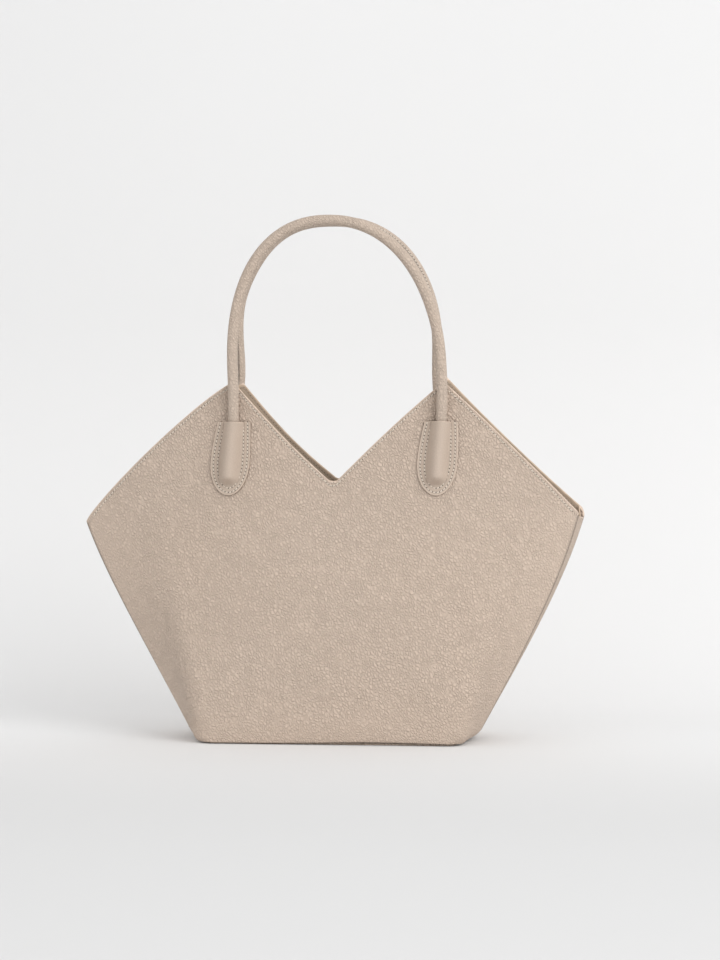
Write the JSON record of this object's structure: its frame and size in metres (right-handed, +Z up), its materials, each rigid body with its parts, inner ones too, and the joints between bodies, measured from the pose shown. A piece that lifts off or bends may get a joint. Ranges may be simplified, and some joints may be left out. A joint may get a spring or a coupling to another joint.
{
  "type": "tote bag",
  "caption": "Leather tote bag with a V notched mouth, pointed wing tips, a boxed base and rolled carrying handles on stitched tabs.",
  "frame": {"origin": "centre of the base on the surface that the bag stands on", "axes": "+Z up, +X along the width, the front faces -Y"},
  "size_m": [0.452, 0.12, 0.497],
  "materials": {
    "leather": "pebbled",
    "lining": "matte",
    "patch": "matte",
    "board": "matte",
    "cord": "matte",
    "snap_metal": "satin"
  },
  "bodies": {
    "bag": {"front_panel": "leather", "back_panel": "leather", "left_side_strip": "leather", "right_side_strip": "leather", "base_panel": "leather", "front_facing": "leather", "back_facing": "leather", "front_left_tab": "leather", "front_right_tab": "leather", "back_left_tab": "leather", "back_right_tab": "leather", "front_left_handle_end": "leather", "front_right_handle_end": "leather", "back_left_handle_end": "leather", "back_right_handle_end": "leather", "front_lining": "lining", "back_lining": "lining", "base_lining": "lining", "slip_pocket": "lining", "front_left_patch": "patch", "front_right_patch": "patch", "back_left_patch": "patch", "back_right_patch": "patch", "snap_socket": "snap_metal", "snap_stud": "snap_metal", "front_snap_washer": "snap_metal", "back_snap_washer": "snap_metal", "base_board": "board"},
    "front_handle": {"front_handle_cover": "leather", "front_handle_core": "cord"},
    "back_handle": {"back_handle_cover": "leather", "back_handle_core": "cord"}
  },
  "joints": [
    {"name": "front_handle_swing", "type": "hinge", "parent": "bag", "child": "front_handle", "pos_m": [0, -0.04362, 0.298], "axis": [1, 0, 0], "range_deg": [-0.8, 170]},
    {"name": "back_handle_swing", "type": "hinge", "parent": "bag", "child": "back_handle", "pos_m": [0, 0.04362, 0.298], "axis": [-1, 0, 0], "range_deg": [-0.8, 170]}
  ]
}
